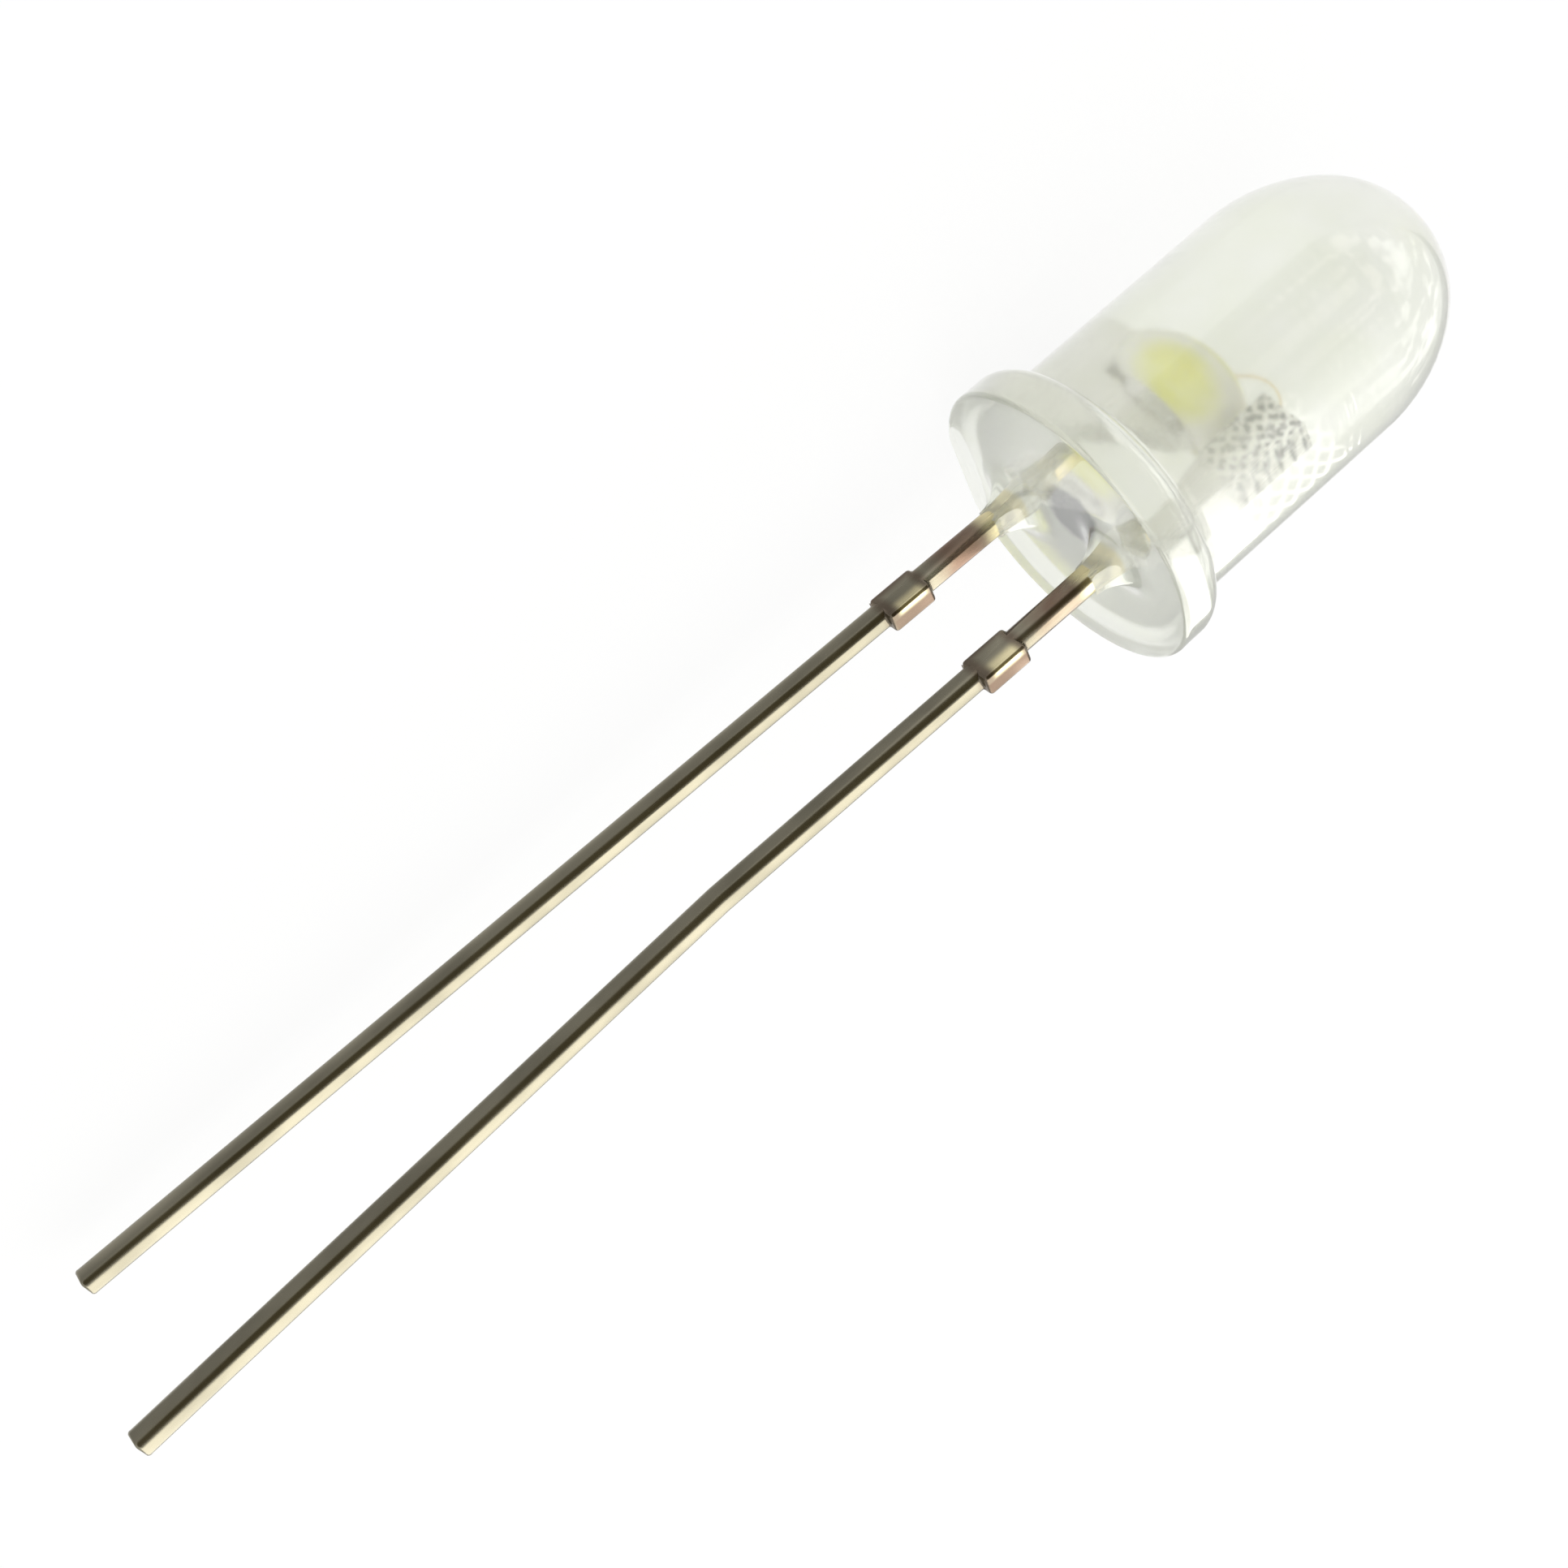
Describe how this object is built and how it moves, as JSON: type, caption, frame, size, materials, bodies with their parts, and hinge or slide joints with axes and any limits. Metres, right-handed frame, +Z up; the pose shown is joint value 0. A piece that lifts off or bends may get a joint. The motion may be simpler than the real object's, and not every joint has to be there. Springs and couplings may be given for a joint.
{
  "type": "through hole led",
  "caption": "Round clear LED lamp, 5 mm, with domed epoxy lens, flange, yellow phosphor cup and two square wire legs.",
  "frame": {"origin": "under the middle of the LED's length, on the surface that it lies on", "axes": "+X along the lens axis towards the dome, +Z up from the flange's flat on the cathode side towards the anode, Y across the lead frame"},
  "size_m": [0.03, 0.0058, 0.0057],
  "materials": {
    "clear_epoxy": "gloss",
    "plated_lead": "satin",
    "phosphor": "satin",
    "die": "gloss",
    "adhesive": "satin",
    "bond_wire": "gloss"
  },
  "bodies": {
    "root": {"epoxy_case": "clear_epoxy", "cathode_lead": "plated_lead", "anode_lead": "plated_lead", "phosphor_fill": "phosphor", "led_chip": "die", "die_attach": "adhesive", "anode_bond_wire": "bond_wire", "cathode_bond_wire": "bond_wire"}
  },
  "joints": []
}
